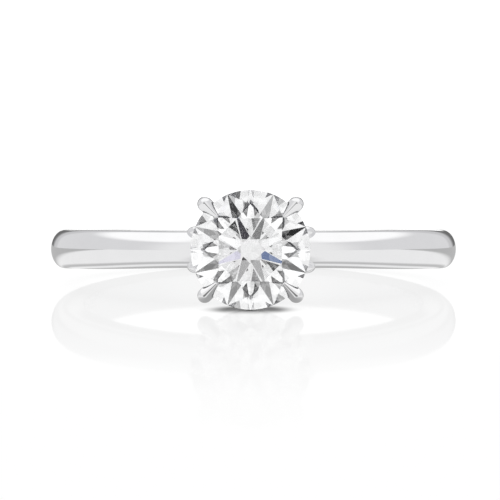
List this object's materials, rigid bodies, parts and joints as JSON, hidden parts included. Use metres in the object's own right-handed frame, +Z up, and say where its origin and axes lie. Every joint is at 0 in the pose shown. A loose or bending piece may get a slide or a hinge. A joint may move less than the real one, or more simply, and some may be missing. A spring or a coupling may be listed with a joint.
{
  "type": "engagement ring",
  "caption": "Solitaire ring: a round brilliant-cut stone held by corner claws on a polished D-section band with slightly tapered shoulders.",
  "frame": {"origin": "centre of the finger bore, halfway across the band", "axes": "+Z along the finger bore; the ring circle lies in the XY plane; the stone's table faces -Y; +X to the right when the stone is looked at with +Z up"},
  "size_m": [0.0198, 0.0227, 0.0058],
  "materials": {
    "platinum": "polished",
    "diamond": "polished"
  },
  "bodies": {
    "root": {"shank": "platinum", "base_collet": "platinum", "gallery_ring": "platinum", "bridge_rail_upper": "platinum", "bridge_rail_lower": "platinum", "claw_upper_right": "platinum", "claw_upper_left": "platinum", "claw_lower_left": "platinum", "claw_lower_right": "platinum", "stone": "diamond"}
  },
  "joints": []
}
